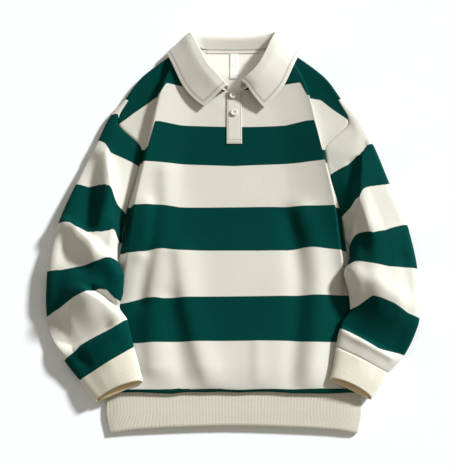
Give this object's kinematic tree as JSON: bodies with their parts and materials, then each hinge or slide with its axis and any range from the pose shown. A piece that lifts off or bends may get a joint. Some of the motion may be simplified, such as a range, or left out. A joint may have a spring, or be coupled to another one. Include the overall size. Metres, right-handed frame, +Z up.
{
  "type": "polo shirt",
  "caption": "Long-sleeved polo sweatshirt laid flat, in thick knit with wide stripes, a turned-down collar, a short buttoned placket, and rib cuffs and hem band.",
  "frame": {"origin": "middle of the shirt's box, on the surface it lies on", "axes": "+Y from the hem to the neck, +X towards the sleeve at the picture's right, +Z up from the surface to the front"},
  "size_m": [0.6614, 0.7507, 0.0498],
  "materials": {
    "striped_knit": "smooth thick jersey with wide dark green stripes on cream",
    "collar_knit": "smooth double jersey, topstitched",
    "rib_knit": "fine vertical rib knit",
    "neck_tape": "plain cotton tape, stitched at both edges",
    "satin_label": "white satin, bare",
    "shirt_button": "white resin, satin gloss"
  },
  "bodies": {
    "root": {"front": "striped_knit", "back": "striped_knit", "sleeve_left": "striped_knit", "sleeve_right": "striped_knit", "collar": "collar_knit", "placket": "collar_knit", "under_placket": "collar_knit", "cuff_left": "rib_knit", "cuff_right": "rib_knit", "hem_band": "rib_knit", "neck_tape": "neck_tape", "label": "satin_label", "button_upper": "shirt_button", "button_lower": "shirt_button"}
  },
  "joints": []
}
